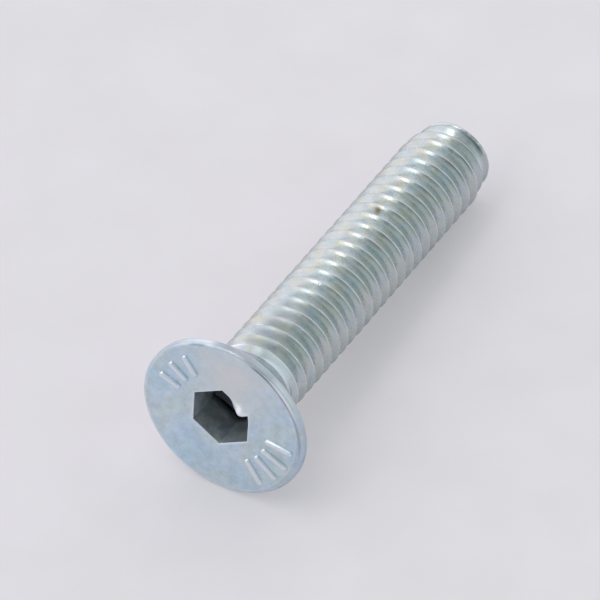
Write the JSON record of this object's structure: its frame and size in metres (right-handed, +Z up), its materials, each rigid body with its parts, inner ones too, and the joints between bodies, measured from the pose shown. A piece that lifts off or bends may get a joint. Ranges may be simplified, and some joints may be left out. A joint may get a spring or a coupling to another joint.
{
  "type": "countersunk socket screw",
  "caption": "Countersunk machine screw with a flat conical head, a hexagon socket and a shank threaded almost up to the head, lying on its side.",
  "frame": {"origin": "centre of the underside of the bounding box, on the surface that the screw lies on", "axes": "+X along the screw's length from head to tip, seen from above; +Z up. The screw's own axis dips 5.83 degrees towards the tip, because it rests on the rim of its head and on the thread by the tip"},
  "size_m": [0.0202, 0.0076, 0.0075],
  "materials": {
    "zinc_plated_steel": "bright blue-white zinc plating, satin on the face of the head"
  },
  "bodies": {
    "root": {"screw": "zinc_plated_steel"}
  },
  "joints": []
}
